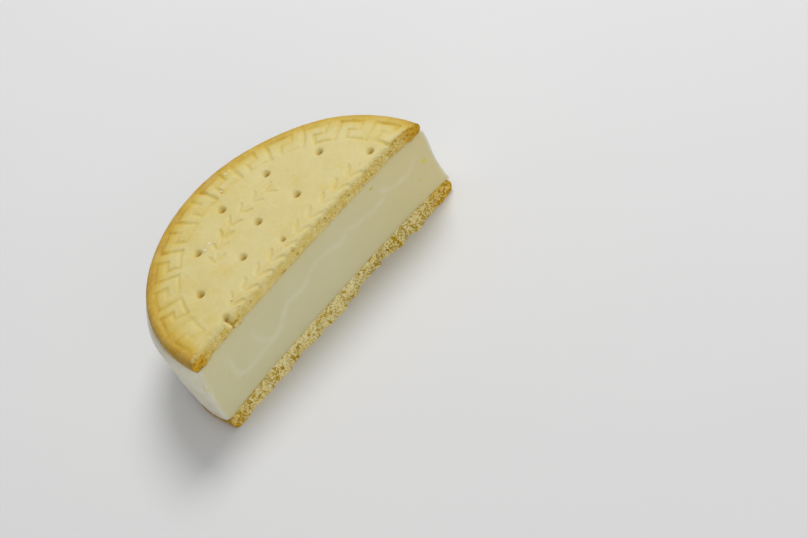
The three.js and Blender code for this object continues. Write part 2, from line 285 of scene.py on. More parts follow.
def pattern_press(x, y):
    """Depth of the border and the branches, uneven and worn."""
    away = np.hypot(x, y)
    press = np.zeros(x.shape)
    flat = np.stack([x, y, 0 * x], 1)
    border = away > BORDER_FROM
    bent = 0.3 * noise(flat[border], 4.5, 4)
    worn = np.clip(0.95 + 0.7 * noise(flat[border], 4.2, 8), 0.2, 1.5)
    worn = worn * np.interp(np.degrees(np.arctan2(y[border], x[border])), *zip(*KEY_WEAR))
    for lines, deep in zip(key_lines(), KEY_DEEP):
        d = distance_to_lines(x[border] + bent, y[border] - bent, lines)
        d = d + 0.14 * noise(flat[border], 1.6, 5)
        press[border] = np.maximum(press[border], deep * worn * (1 - smooth(d, 0.0, 1.0)))
    near_row = (np.abs(y - ROW_Y) < 4.5) & (away < BORDER_FROM)
    near_arc = (np.abs(away - 25) < 5) & (y > 12)
    press[near_row] = branch_press(x[near_row], y[near_row], ROW_STEM, ROW)
    press[near_arc] = branch_press(x[near_arc], y[near_arc], ARC_STEM, ARC)
    return press * (0.85 + 0.35 * noise(flat, 7.0, 9))


# ---------------------------------------------------------------- meshes

class Body:
    """Vertices in millimetres, faces with a material number, and named values per vertex."""

    def __init__(self):
        self.points, self.faces, self.kinds, self.count = [], [], [], 0
        self.values = {}

    def add(self, points, **values):
        points = np.asarray(points, float).reshape(-1, 3)
        start = self.count
        self.points.append(points)
        self.count += len(points)
        for name in values:
            self.values.setdefault(name, np.zeros(0))
        for name, known in self.values.items():
            new = np.zeros(self.count)
            new[: len(known)] = known
            if name in values:
                new[start:] = values[name]
            self.values[name] = new
        return np.arange(start, self.count)

    def strip(self, a, b, at, bt, kind=0):
        """Joins two rows of vertices that run the same way, by the places at and bt along them."""
        a, b, at, bt = list(a), list(b), list(at), list(bt)
        if len(a) == len(b):
            new = [(a[i], b[i], b[i + 1], a[i + 1]) for i in range(len(a) - 1)]
        else:
            new, i, j = [], 0, 0
            while i < len(a) - 1 or j < len(b) - 1:
                if j == len(b) - 1 or (i < len(a) - 1 and at[i + 1] + at[i] <= bt[j + 1] + bt[j]):
                    new.append((a[i], b[j], a[i + 1]))
                    i += 1
                else:
                    new.append((a[i], b[j], b[j + 1]))
                    j += 1
        self.faces += new
        self.kinds += [kind] * len(new)

    def build(self, name, materials):
        points = (np.concatenate(self.points) + ORIGIN) * MM
        mesh = bpy.data.meshes.new(name)
        mesh.from_pydata(points.tolist(), [], [tuple(int(i) for i in f) for f in self.faces])
        for material in materials:
            mesh.materials.append(material)
        mesh.polygons.foreach_set("material_index", self.kinds)
        for value, numbers in self.values.items():
            mesh.attributes.new(value, "FLOAT", "POINT").data.foreach_set("value", numbers)
        work = bmesh.new()
        work.from_mesh(mesh)
        bmesh.ops.recalc_face_normals(work, faces=work.faces)
        if work.calc_volume(signed=True) < 0:
            bmesh.ops.reverse_faces(work, faces=work.faces)
        open_edges = sum(1 for e in work.edges if len(e.link_faces) != 2)
        work.to_mesh(mesh)
        work.free()
        mesh.shade_smooth()
        print(name, len(mesh.vertices), "vertices", len(mesh.polygons), "faces", open_edges, "open")
        piece = bpy.data.objects.new(name, mesh)
        bpy.context.scene.collection.objects.link(piece)
        return piece


# ---------------------------------------------------------------- torn crumb faces

def chips(x, bumps):
    """The cut edge's shift at its bumps, below 0 because they stand forward."""
    total = np.zeros(x.shape)
    for middle, out, reach in bumps:
        total -= out * np.exp(-(((x - middle) / reach) ** 2))
    return total


def table(x, pairs):
    """The value at x of a table of (x, value) pairs."""
    return np.interp(x, *zip(*pairs))


# Where the upper biscuit's cut edge stands forward, as (x, out, reach).
UPPER_CHIPS = [(-45, 0.7, 6), (44, 0.8, 5)]
# How far forward of the cut the torn edge of the lower biscuit's underside stands, as (x, out).
LOWER_EDGE = [(-44, 1.2), (-41.3, 1.65), (-38.4, 1.2), (-35.3, 0.5), (-32, 1), (-26, 0.85),
              (-22.2, 1.3), (-20, 0.5), (-15, -0.4), (-11.8, 0.3), (-7, 0.2), (-4.7, 1.1),
              (-2.5, 0.45), (0.3, 1.1), (2, 0.2), (5.9, 0.5), (7.8, -0.8), (14.8, -1),
              (16.2, -0.4), (17.4, -1.7), (19, -1.5), (21.8, 0.1), (24.6, 0.5), (28, -0.2),
              (30.7, 1.3), (34, 0.6), (38.8, 0.3), (41.7, 0.7), (44.1, 0.2)]
# How far the crust is rolled down over the upper biscuit's cut face at each x.
SKIN = [(-45, 0.5), (-42, 1.1), (-30, 1.3), (-24, 0.75), (30, 0.7), (38, 0.5), (44, 0.3)]
# The middles of the crack's pale lips, and its paths, as (x, height above the underside).
CRACK_LIPS = [(-29.9, 2.1), (-28.3, 0.5)]
CRACK = [[(-29.1, 4.2), (-28.8, 1.7), (-27.3, 1.4)], [(-28.8, 1.7), (-29.0, 0.4)]]


def crack(x, level):
    """Depth of the crack that runs down from the docking hole in the cut, and its pale lips."""
    high = 4 * level
    far = distance_to_lines(x, high, [line for path in CRACK for line in path_lines(path)])
    lips = sum(np.exp(-((np.hypot(x - lx, high - lz) / 0.6) ** 2)) for lx, lz in CRACK_LIPS)
    return 0.5 * np.exp(-((far / 0.38) ** 2)), lips


def upper_shift(x, level):
    """How far behind CUT_Y the upper biscuit's cut face is; level is 0 under and 1 on top."""
    rough = 0.07 * line_noise(x, 0.8, 21) + 0.07 * line_noise(x, 4.7, 22)
    skin = table(x, SKIN)
    start = 1 - 1.6 * skin / UPPER["thickness"]
    rolled = skin * np.clip((level - start) / (1 - start), 0, 1) ** 2
    cracked, lips = crack(x, level)
    return chips(x, UPPER_CHIPS) + rough + cracked - 0.3 * lips + rolled


def lower_shift(x, level):
    """The same for the lower biscuit, whose face is torn towards its underside."""
    share = 1 - level
    ragged = 0.2 * line_noise(x, 0.8, 31) + 0.16 * line_noise(x, 2.1, 32)
    return ragged * (0.12 + share) - share * table(x, LOWER_EDGE)


def crumb_relief(x, z, crumb):
    """Depth of a torn crumb's gaps and pits, how hollow each point is, where its colour is darker
    partly as painted shade, how much painted shade darkens it, and the tone of its grain. The
    cells are its grains, and those with a high value are pits."""
    p = np.stack([x, 0 * x, z], 1)
    size, seed = crumb["cell"], crumb["seed"]
    wild = table(x, crumb["wild"])
    clump = noise(p, 1.7, seed + 6) + 0.7 * noise(p, 0.9, seed + 7)
    bent = 0.3 * size * noise(p, 1.4 * size, seed)
    slanted = x + 0.2 * z
    edge, value = cells(slanted + bent, 0.9 * z - bent, size, seed)
    fine_edge, tone = cells(slanted - bent, 0.9 * z + bent, 0.5 * size, seed + 9)
    gap = 1 - smooth(edge, 0, 0.55 * size)
    fine_gap = 1 - smooth(fine_edge, 0, 0.25 * size)
    near_end = np.exp(-((RADIUS - np.abs(x)) / 4) ** 2)
    pitted = crumb["pitted"] - 0.09 * noise(p, 3.2, seed + 3) - 0.14 * near_end
    pit = smooth(value, pitted, pitted + 0.03) * (1 - 0.4 * gap)
    dark = np.zeros(x.shape)
    # The listed pits get painted shade, which also deepens them a little.
    for px, pz, wide, tall in crumb["pits"]:
        d = np.hypot((x - px) / wide, (z - pz) / tall) * 2 + 0.25 * noise(p, 0.7, seed + 5)
        dark = np.maximum(dark, 1 - smooth(d, 0.35, 1.1))
    depth = wild * crumb["gap"] * (gap + 0.4 * fine_gap + 0.5 * clump)
    depth = depth + crumb["pit"] * pit * (0.55 + 0.45 * tone)
    depth = np.maximum(depth, 0.32 * dark) + crumb["lumps"] * noise(p, 2.5, 77)
    hollow = wild * (1.2 * gap * (0.12 + tone) + 0.12 * fine_gap + 0.3 * clump - 0.26) + 0.8 * pit
    # Painted shade darkens the grain's pits.
    dark = np.maximum(dark, crumb["shade"] * pit * smooth(tone, 0.2, 0.5))
    return depth, hollow, dark, 0.5 + wild * (tone - 0.5)


# How baked the crust is by the distance from the middle, on its right and on its left. The left
# is darker, partly from baking and partly as painted shade on the side away from the key light.
BAKED_RIGHT = [(36.5, 0), (39, 0.1), (40.75, 0.27), (42, 0.47), (42.9, 0.62), (45, 0.95)]
BAKED_AND_SHADED_LEFT = [(14, 0), (22, 0.04), (34.5, 0.07), (37, 0.14), (39, 0.24), (40.75, 0.46),
              (42, 0.66), (42.9, 0.82), (45, 1)]
# The cut face's shift fades out over this far behind it.
SHIFT_FADE = 4


def biscuit(shape, top, under, rise, shift, rings, steps, crumb):
    """A half disc with a rounded rim and a cut face with a torn crumb.

    top and under are its faces, rise the relief of the top and how much each point is a hole,
    shift how far back the cut face stands, rings the distances of the rings of vertices, and
    steps the spacing along them. crumb holds the settings of the cut face:
    columns, rows, seed: the mesh and its randomness; cell: the size of a grain
    gap, pit, lumps: depths in millimetres; pitted: cells above this value are pits
    shade, crust: painted shade in pits, and whether the crust is rolled down over the top edge
    smear, proud: how far crumb lies over the cream, up or down, and how far in front of it
    bevel: how far the top's edge at the cut is worn down
    wild, bake, ring: coarseness, baking and extra baking along the outline, as (x, value)
    rind: extra baking along the underside; pits: holes with painted shade, as (x, z, width, height)
    """
    body = Body()
    rim = shape["rim"]
    shoulder = RADIUS - rim

    def ring(reach, nose, spacing):
        """A ring at reach on a face, or round the rim at the angle nose."""
        count = max(2, int(round(math.pi * max(reach, 1e-3) / spacing)))
        theta = np.linspace(0, math.pi, count + 1)
        edge = np.sqrt(RADIUS**2 - (CUT_Y * np.cos(theta)) ** 2) - CUT_Y * np.sin(theta) - rim
        r = edge * reach / shoulder if nose is None else edge + rim * math.cos(nose)
        bulge = np.exp(-(((np.degrees(theta) - SPREAD["at"]) / SPREAD["width"]) ** 2))
        r = r + shape["spread"] * (r / RADIUS) ** 6 * bulge
        return theta, shape["middle"] + r * np.cos(theta), CUT_Y + r * np.sin(theta)

    def place(x, y, side, relief):
        """side runs from -1 on the underside to 1 on top."""
        middle, half = (top(x, y) + under(x, y)) / 2, (top(x, y) - under(x, y)) / 2
        inward = y - CUT_Y
        z = middle + half * side + relief
        z = z - crumb["bevel"] * np.exp(-inward / 0.5) * (side > 0.99)
        near = np.clip(1 - inward / SHIFT_FADE, 0, 1) ** 2
        back = shift(x, np.full(x.shape, (side + 1) / 2)) * near
        return np.stack([x, y + back, z], 1)

    def baked(x, y, side):
        """How baked the crust is, from 0 to 1; on the left this also holds painted shade."""
        away = np.hypot(x - shape["middle"], y)
        left = smooth(-x, -32, 8)
        edge = (1 - left) * table(away, BAKED_RIGHT) + left * table(away, BAKED_AND_SHADED_LEFT)
        return np.clip(edge + (0.25 if side < 0.5 else 0), 0, 1)

    # The rings over the top, round the rim and back under the biscuit to its middle.
    rows = []
    for reach in rings:
        theta, x, y = ring(reach, None, steps["top"])
        if reach == 0:
            theta, x, y = np.zeros(1), x[:1], y[:1]
        relief, hole = rise(x, y)
        ids = body.add(place(x, y, 1, relief), bake=baked(x, y, 1), hole=hole)
        rows.append((ids, theta))
    noses = np.radians(np.linspace(90, -90, 15)[1:-1])
    for nose in noses:
        theta, x, y = ring(RADIUS, nose, steps["top"])
        p = np.stack([x, y, np.full(x.shape, 3 * math.sin(nose))], 1)
        rough = 0.05 * fractal(p, 1.5, 3, 41)
        side = math.sin(nose)
        ids = body.add(place(x, y, side, rough), bake=np.clip(baked(x, y, side), 0.75, 1))
        rows.append((ids, theta))
    for reach in rings[::-1]:
        theta, x, y = ring(reach, None, steps["under"] * max(0.2, reach / RADIUS))
        if reach == 0:
            theta, x, y = np.zeros(1), x[:1], y[:1]
        ids = body.add(place(x, y, -1, 0), bake=baked(x, y, -1))
        rows.append((ids, theta))
    for (a, at), (b, bt) in zip(rows[:-1], rows[1:]):
        body.strip(a, b, at, bt)

    # The loop of the cut face: its upper and lower edges, both from the left tip to the right.
    tip = len(rings) + len(noses) // 2
    upper = [rows[i][0][-1] for i in range(tip, 0, -1)] + [rows[0][0][0]]
    upper += [rows[i][0][0] for i in range(1, tip + 1)]
    lower = [rows[i][0][-1] for i in range(tip, len(rows) - 1)] + [rows[-1][0][0]]
    lower += [rows[i][0][0] for i in range(len(rows) - 2, tip - 1, -1)]
    points = np.concatenate(body.points)
    up, down = points[upper], points[lower]

    # The cut face as a grid; v runs from 0 on the underside to 1 on top.
    columns = np.linspace(up[0, 0] + 0.1, up[-1, 0] - 0.1, crumb["columns"])
    high = np.interp(columns, up[:, 0], up[:, 2])
    low = np.interp(columns, down[:, 0], down[:, 2])
    share = (np.arange(crumb["rows"]) + 0.35) / (crumb["rows"] - 0.3)
    x = np.repeat(columns, len(share))
    v = np.tile(share, len(columns))
    z = np.repeat(low, len(share)) + v * np.repeat(high - low, len(share))
    # Crumbs dragged by the knife lie over the edge of the ice cream, and the very edge dips into
    # it, so that it shows no gap.
    to_cream = v if crumb["smear"] > 0 else 1 - v
    toward = smooth(to_cream, 0.75, 1) * smooth(RADIUS - np.abs(x), 1, 4)
    uneven = np.clip(0.6 + line_noise(x, 2.2, 91) + 0.6 * line_noise(x, 0.7, 92), 0.15, 1.6)
    z = z + crumb["smear"] * toward * uneven
    depth, hollow, dark, tone = crumb_relief(x, z, crumb)
    inner = smooth(np.minimum(v, 1 - v), 0.0, 0.12)
    dips = smooth(to_cream, 0.88, 1)
    y = CUT_Y + shift(x, v) + depth * (0.12 + 0.88 * inner)
    y = y - crumb["proud"] * toward + 0.16 * dips
    # Where the crust is rolled down over the face, and how baked it is there.
    skin, skin_bake = 0 * v, 0 * v
    if crumb["crust"]:
        cracked, lips = crack(x, v)
        hollow = np.maximum(hollow, 2 * cracked) - lips
        # Painted shade darkens the crack, less on its pale lips.
        dark = np.maximum(dark, 1.3 * cracked) * (1 - 0.6 * np.clip(lips, 0, 1))
        tone = tone - 1.5 * lips
        from_top = (1 - v) * shape["thickness"] + 0.2 * line_noise(x, 2.4, 93)
        skin = 1 - smooth(from_top - table(x, SKIN), -0.25, 0.15)
        skin_bake = baked(x, CUT_Y, 1) + 0.3 * np.clip(from_top / table(x, SKIN), 0, 1) ** 2
    tall = np.repeat(high - low, len(share))
    to_end = RADIUS + 0.2 - np.abs(x - shape["middle"])
    outline = 1 - smooth(np.minimum(np.minimum(v, 1 - v) * tall, to_end), 0.2, 1.3)
    rind = 1 - smooth(v, 0, 0.22)
    bake = table(x, crumb["bake"]) + crumb["rind"] * rind + table(x, crumb["ring"]) * outline
    ids = body.add(np.stack([x, y, z], 1), bake=bake, hollow=hollow, dark=dark, tone=tone,
                   skin=skin, skin_bake=skin_bake, creamy=toward * dips)
    grid = ids.reshape(len(columns), len(share))
    for a, b in zip(grid[:-1], grid[1:]):
        body.strip(a, b, share, share, kind=1)
    body.strip(upper, grid[:, -1], up[:, 0], columns, kind=1)
    body.strip(lower, grid[:, 0], down[:, 0], columns, kind=1)
    body.strip([upper[0]], grid[0], [0], share, kind=1)
    body.strip([upper[-1]], grid[-1], [0], share, kind=1)
    return body


# ---------------------------------------------------------------- ice cream

# "swell" is how far the wall bulges on the left, "tuck" how far it draws in beside the left corner
# above and below the level "fullest", and "top" how far its upper edge is rounded. "inside" is a
# y well within the cream. FLARE widens the foot and LIP the upper half, both on the right.
CREAM = {"middle": 0.9, "radius": 45.1, "top": 1.3, "swell": 4.2, "tuck": 3.4, "fullest": 0.4,
         "inside": 18}
FLARE = 1.4
LIP = 0.45
# The flare is a trace smaller near the left corner, over this share of the radius.
PULL = {"by": 1.5, "over": 0.32}
CORNERS = {"left": 1.9, "right": 1.2}
# How deep the cream reaches into the biscuits, and how far frost fades in from the corners.
SUNK = 0.12
FROST_FADE = 1.3


def cream_reach(angle, level):
    """How far the wall is from the middle; level is 0 at its foot and 1 at its top."""
    right = (1 + np.cos(angle)) / 2
    leftward = np.maximum(0, -np.cos(angle))
    aside = np.abs(np.sin(angle))
    flare = FLARE * (1 - level) ** 4
    lip = LIP * smooth(level, 0.4, 0.75)
    pull = PULL["by"] * leftward * np.exp(-((aside / PULL["over"]) ** 2)) * (1 - level) ** 3
    swell = CREAM["swell"] * np.sqrt(aside) * leftward * (0.15 + 0.85 * level)
    tuck = CREAM["tuck"] * leftward * (1 - aside) ** 4 * (level - CREAM["fullest"]) ** 2
    rounding = CREAM["top"] * np.maximum(0, (level - 0.88) / 0.12) ** 2
    return CREAM["radius"] + right * (flare - pull + lip) + swell - tuck - rounding


# Paler swirls in the cut face, each a path of (x, height) points.
SWIRLS = [
    [(-34.6, 18), (-34.7, 11), (-32, 10.1), (-27, 10.4), (-22, 11), (-18.5, 11.8), (-16, 13.8)],
    [(-25.6, 18), (-24.8, 14.2), (-23, 12.2), (-20, 11.2), (-17.5, 12), (-15, 14.4), (-12.8, 15.9)],
    [(-12.5, 16), (-9.5, 15.2), (-6, 15.8), (-3, 17.6), (1, 18.6), (5, 18), (8, 16.6), (12, 18)],
    [(12, 18), (14.5, 17), (18, 16.4), (22, 15.8), (26, 16)],
    [(26.6, 19), (28.4, 17), (31.5, 15.9), (35, 15.5), (38, 16.5), (39.5, 18)],
]


def cream():
    """Rows of vertices round the wall and across the cut face, with a closed foot and head."""
    body = Body()
    angles = 300
    columns = 260
    levels = np.concatenate(
        [[0, 0.012, 0.03], np.linspace(0.05, 0.86, 46), np.linspace(0.875, 1, 10)]
    )
    cl, cr = CORNERS["left"], CORNERS["right"]
    turn = np.radians(np.linspace(0, 90, 8)[1:])
    rows = []
    for level in levels:
        right = CREAM["middle"] + cream_reach(0.0, level)
        left = CREAM["middle"] - cream_reach(math.pi, level)
        start = math.asin((CUT_Y + cr) / cream_reach(0.0, level))
        stop = math.pi - math.asin((CUT_Y + cl) / cream_reach(math.pi, level))
        theta = np.linspace(start, stop, angles)
        reach = cream_reach(theta, level)
        x, y = CREAM["middle"] + reach * np.cos(theta), reach * np.sin(theta)
        # The ends of the wall meet the rounded corners.
        x = x + (right - x[0]) * np.exp(-np.arange(angles) / 3.0)
        x = x + (left - x[-1]) * np.exp(-np.arange(angles)[::-1] / 3.0)
        lx, ly = left + cl - cl * np.cos(turn), CUT_Y + cl - cl * np.sin(turn)
        rx, ry = right - cr + cr * np.cos(turn[::-1]), CUT_Y + cr - cr * np.sin(turn[::-1])
        fx = np.linspace(lx[-1], rx[0], columns)[1:-1]
        fy = np.full(fx.shape, CUT_Y)
        px = np.concatenate([x, lx, fx, rx])
        py = np.concatenate([y, ly, fy, ry])
        # wall is 1 all round the wall and falls to 0 on the cut face beside the corners. Beside the
        # right corner it reaches half a millimetre farther: frost and a painted highlight along
        # that edge.
        wall = 1 - smooth(np.minimum(px - left, right - 0.5 - px), 0.0, FROST_FADE)
        wall[:angles] = 1
        # skirt is how far the wall's foot hangs below the lower biscuit's top.
        aside = np.clip((py - 1) / 14, 0, 1)
        skirt = 0.45 + (0.45 + 1.1 * aside) * np.clip(-(px - 2) / RADIUS, 0, 1) ** 2
        ragged = fractal(np.stack([px, py, 0 * px], 1), 5, 3, 61)
        skirt = np.maximum(skirt + 0.32 * ragged, 0.05)
        skirt = skirt * (1 - 0.9 * smooth(-px, 15, 38) * (1 - smooth(py, 8, 24)))
        foot = lower_top(px, py) - SUNK - skirt * wall
        head = upper_under(px, py) + SUNK
        pz = foot + level * (head - foot)
        p = np.stack([px, py, pz], 1)
        out = 0.1 * noise(p * [1, 1, 2], 7, 62) + 0.035 * fractal(p, 1.6, 3, 63)
        from_middle = px - CREAM["middle"]
        radial = np.stack([from_middle, py], 1) / np.hypot(from_middle, py)[:, None]
        p[:, :2] += radial * (out * np.clip((py - CUT_Y) / 1.5, 0, 1))[:, None]
        face = (1 - np.clip((py - CUT_Y) / 0.4, 0, 1)) * (1 - wall)
        swirl = np.zeros(px.shape)
        bent = 0.35 * noise(p * [1, 0, 1], 2.4, 66)
        for path in SWIRLS:
            near = distance_to_lines(px + bent, pz + bent, path_lines(path))
            swirl = np.maximum(swirl, np.exp(-((near / 0.8) ** 2)))
        swirl *= face * (0.85 + 0.4 * noise(p, 3.0, 64))
        # The cut face is slightly uneven, but flat where it meets the biscuits.
        between = smooth(np.minimum(pz - foot, head - pz), 0.5, 3)
        p[:, 1] += face * between * 0.1 * np.sin(px / 6 + pz / 5)
        p[:, 1] += face * 0.02 * noise(p * [0.4, 1, 1.6], 0.9, 65)
        p[:, 1] -= 0.04 * swirl
        stain = np.exp(-(head - pz) / 0.7) + 0.35 * np.exp(-(head - pz) / 4)
        stain = np.maximum(stain, 0.9 * np.exp(-(pz - foot) / 0.7)) * face
        # Painted reflection: the cut face grows warmer towards its right, as light bounced off
        # baked biscuit would make it.
        warm = smooth(px, -4, 44) * (1 - wall)
        ids = body.add(p, frost=wall, swirl=swirl, stain=stain, warm=warm)
        rows.append(np.append(ids, ids[0]))
    place = np.arange(len(rows[0]))
    for a, b in zip(rows[:-1], rows[1:]):
        body.strip(a, b, place, place)
    points = np.concatenate(body.points)
    for row, surface, lift in ((rows[0], lower_top, 0.1), (rows[-1], upper_under, -0.1)):
        rim = points[row[:-1]]
        for share in (0.93, 0.75, 0.45, 0.15):
            x = CREAM["middle"] + (rim[:, 0] - CREAM["middle"]) * share
            y = CREAM["inside"] + (rim[:, 1] - CREAM["inside"]) * share
            ids = body.add(np.stack([x, y, surface(x, y) + lift], 1))
            new = np.append(ids, ids[0])
            body.strip(row, new, place, place)
            row = new
        x, y = CREAM["middle"], CREAM["inside"]
        hub = body.add([x, y, surface(x, y) + lift])[0]
        body.strip([hub], row, [0], place)
    return body


# ---------------------------------------------------------------- small bits

def bits(name, spots, seed, material, flat):
    """Small uneven grains, each (x, y, z, size), joined into one piece; flat scales each way."""
    random = np.random.default_rng(seed)
    body = Body()
    for x, y, z, size in spots:
        work = bmesh.new()
        bmesh.ops.create_icosphere(work, subdivisions=2, radius=1)
        work.verts.ensure_lookup_table()
        shape = np.array([v.co for v in work.verts])
        faces = [[v.index for v in f.verts] for f in work.faces]
        work.free()
        shape = shape * (1 + 0.4 * noise(shape + random.uniform(-50, 50, 3), 0.6, seed))[:, None]
        stretch = random.uniform(0.75, 1.25, 3) * flat
        ids = body.add(shape * size / 2 * stretch + [x, y, z])
        body.faces += [tuple(ids[i] for i in f) for f in faces]
        body.kinds += [0] * len(faces)
    return body.build(name, [material])


# ---------------------------------------------------------------- materials

class Nodes:
    """A material whose nodes are made and linked by short calls."""

    def __init__(self, name):
        self.material = bpy.data.materials.new(name)
        self.material.use_nodes = True
        self.tree = self.material.node_tree
        self.shader = self.tree.nodes["Principled BSDF"]
        self.place = self.node("ShaderNodeTexCoord").outputs["Object"]

    def node(self, kind, inputs=None, **settings):
        made = self.tree.nodes.new(kind)
        for name, value in settings.items():
            setattr(made, name, value)
        for name, value in (inputs or {}).items():
            if isinstance(value, bpy.types.NodeSocket):
                self.tree.links.new(value, made.inputs[name])
            else:
                made.inputs[name].default_value = value
        return made

    def noise(self, size, detail=3.0, rough=0.5, stretch=(1, 1, 1)):
        """Noise with lumps about size millimetres across."""
        vector = self.node(
            "ShaderNodeMapping", {"Vector": self.place, "Scale": [s / (size * MM) for s in stretch]}
        ).outputs[0]
        made = self.node("ShaderNodeTexNoise", {"Vector": vector, "Scale": 1.0, "Detail": detail,
                                                "Roughness": rough})
        return made.outputs["Fac"]

    def value(self, name):
        """A value that the mesh holds per vertex."""
        return self.node("ShaderNodeAttribute", attribute_name=name).outputs["Fac"]

    def math(self, operation, a, b=0.0, c=0.0, clamp=False):
        inputs = {0: a, 1: b, 2: c} if operation == "MULTIPLY_ADD" else {0: a, 1: b}
        return self.node("ShaderNodeMath", inputs, operation=operation, use_clamp=clamp).outputs[0]

    def ramp(self, factor, stops):
        made = self.node("ShaderNodeValToRGB", {"Fac": factor})
        line = made.color_ramp
        while len(line.elements) < len(stops):
            line.elements.new(1.0)
        for element, (position, colour) in zip(line.elements, stops):
            element.position = position
            element.color = (*colour, 1)
        return made.outputs["Color"]

    def mix(self, factor, a, b):
        made = self.node("ShaderNodeMix", data_type="RGBA")
        for index, value in ((0, factor), (6, a), (7, b)):
            if isinstance(value, bpy.types.NodeSocket):
                self.tree.links.new(value, made.inputs[index])
            else:
                made.inputs[index].default_value = value if index == 0 else (*value, 1)
        return made.outputs[2]

    def bump(self, height, distance, strength, normal=None):
        inputs = {"Height": height, "Distance": distance * MM, "Strength": strength}
        if normal:
            inputs["Normal"] = normal
        return self.node("ShaderNodeBump", inputs).outputs[0]

    def finish(self, colour, roughness, normal, **sockets):
        for name, value in (("Base Color", colour), ("Roughness", roughness), ("Normal", normal)):
            if isinstance(value, bpy.types.NodeSocket):
                self.tree.links.new(value, self.shader.inputs[name])
            else:
                self.shader.inputs[name].default_value = value
        for name, value in sockets.items():
            self.shader.inputs[name.replace("_", " ")].default_value = value
        return self.material


# Crust from pale to well baked.
CRUST = [(0.0, (0.71, 0.61, 0.275)), (0.2, (0.69, 0.56, 0.19)), (0.5, (0.64, 0.45, 0.072)),
         (0.8, (0.55, 0.34, 0.034)), (1.0, (0.45, 0.25, 0.022))]
CRUST_GRAIN = (0.64, 0.50, 0.16)
CRUST_PALE = (0.76, 0.63, 0.31)
# Painted shade for the deep cores of the docks.
DOCK_CORE_SHADE = (0.34, 0.17, 0.025)
# Colours on the torn crumb: baked hollows with painted shade, cream on its edge, the turned-down
# crust with a painted highlight, and painted shade in pits and the crack.
SHADED_BAKED_HOLLOW = (0.62, 0.33, 0.022)
CREAM_EDGE = (0.76, 0.70, 0.42)
CRUST_LIT = (0.88, 0.78, 0.38)
PIT_AND_CRACK_SHADE = (0.50, 0.27, 0.008)
# Two tones each of the cream's cut face and of its frosted wall, what lies on them, and a
# painted warm reflection on the face's right.
CREAM_TONES = ((0.71, 0.66, 0.38), (0.765, 0.72, 0.45))
FROST_TONES = ((0.74, 0.70, 0.50), (0.82, 0.805, 0.70))
CREAM_BOUNCE_TINT = (0.78, 0.67, 0.33)
SWIRL_PALE = (0.86, 0.82, 0.63)
STAIN = (0.74, 0.58, 0.22)
FROST_GRAIN = (0.9, 0.9, 0.86)


def crust(name):
    """Baked crust, by the values bake and hole. Docks and pressed lines are browner, partly from
    baking and partly as painted shade, and the docks' cores are darkened with painted shade.
    """
    n = Nodes(name)
    blotch = n.noise(6.5, 4, 0.55)
    fine = n.noise(0.9, 4, 0.6)
    bake = n.math("MULTIPLY_ADD", blotch, 0.6, n.math("ADD", n.value("bake"), -0.3))
    bake = n.math("MULTIPLY_ADD", n.noise(1.2, 3, 0.6), 0.36, n.math("ADD", bake, -0.18))
    # Docks and pressed lines turn browner: partly baking, partly painted shade in the recesses.
    bake = n.math("MULTIPLY_ADD", n.value("hole"), 0.55, bake)
    colour = n.ramp(bake, CRUST)
    colour = n.mix(n.math("SUBTRACT", fine, 0.45, clamp=True), colour, CRUST_GRAIN)
    mottle = n.math("MULTIPLY", n.math("SUBTRACT", n.noise(2.6, 2), 0.5, clamp=True), 0.8)
    colour = n.mix(mottle, colour, CRUST_PALE)
    # Painted shade: the cores of the docks are darkened towards a shade brown.
    shaded_core = n.math("MULTIPLY_ADD", n.value("hole"), 2.4, -0.9, clamp=True)
    colour = n.mix(n.math("MULTIPLY", shaded_core, 0.8), colour, DOCK_CORE_SHADE)
    rough = n.math("MULTIPLY_ADD", fine, 0.25, 0.45)
    normal = n.bump(n.noise(0.55, 4, 0.65), 0.1, 0.5)
    normal = n.bump(n.noise(2.4, 3), 0.25, 0.3, normal)
    return n.finish(colour, rough, normal, Specular_IOR_Level=0.2)


def crumb(name, pale, gold, deep, brown):
    """Torn crumb from pale to gold, deep in its hollows, partly as painted shade, and brown where
    it is baked.
    """
    n = Nodes(name)
    fine = n.noise(0.35, 4, 0.6)
    patch = n.math("MULTIPLY_ADD", n.noise(3.2, 4, 0.6), 1.6, -0.8)
    base = n.mix(n.math("MULTIPLY_ADD", n.value("tone"), 0.9, patch, clamp=True), pale, gold)
    hollow = n.math("ADD", n.value("hollow"), -0.27)
    hollow = n.math("MULTIPLY_ADD", fine, 0.5, hollow, clamp=True)
    # Hollows go towards deep: partly the crumb's own colour, partly painted shade.
    colour = n.mix(hollow, base, deep)
    bake = n.math("ADD", n.value("bake"), -0.3)
    bake = n.math("MULTIPLY_ADD", n.noise(1.6, 3), 0.6, bake, clamp=True)
    # In baked parts the hollows go towards a darker brown, partly painted shade.
    colour = n.mix(bake, colour, n.mix(hollow, brown, SHADED_BAKED_HOLLOW))
    colour = n.mix(n.math("MULTIPLY", n.value("creamy"), 0.6), colour, CREAM_EDGE)
    turned_down = n.math("ADD", n.value("skin_bake"), -0.18)
    turned_down = n.math("MULTIPLY_ADD", n.noise(1.2, 3, 0.6), 0.36, turned_down)
    # Painted highlight: the turned-down crust is lightened towards a lit crust colour.
    lit_crust = n.mix(0.35, n.ramp(turned_down, CRUST), CRUST_LIT)
    colour = n.mix(n.value("skin"), colour, lit_crust)
    # Painted shade: pits and the crack go towards a shade brown.
    colour = n.mix(n.math("MULTIPLY", n.value("dark"), 0.85), colour, PIT_AND_CRACK_SHADE)
    normal = n.bump(n.noise(0.28, 4, 0.7), 0.16, 0.7)
    return n.finish(colour, 0.9, normal, Specular_IOR_Level=0.1)


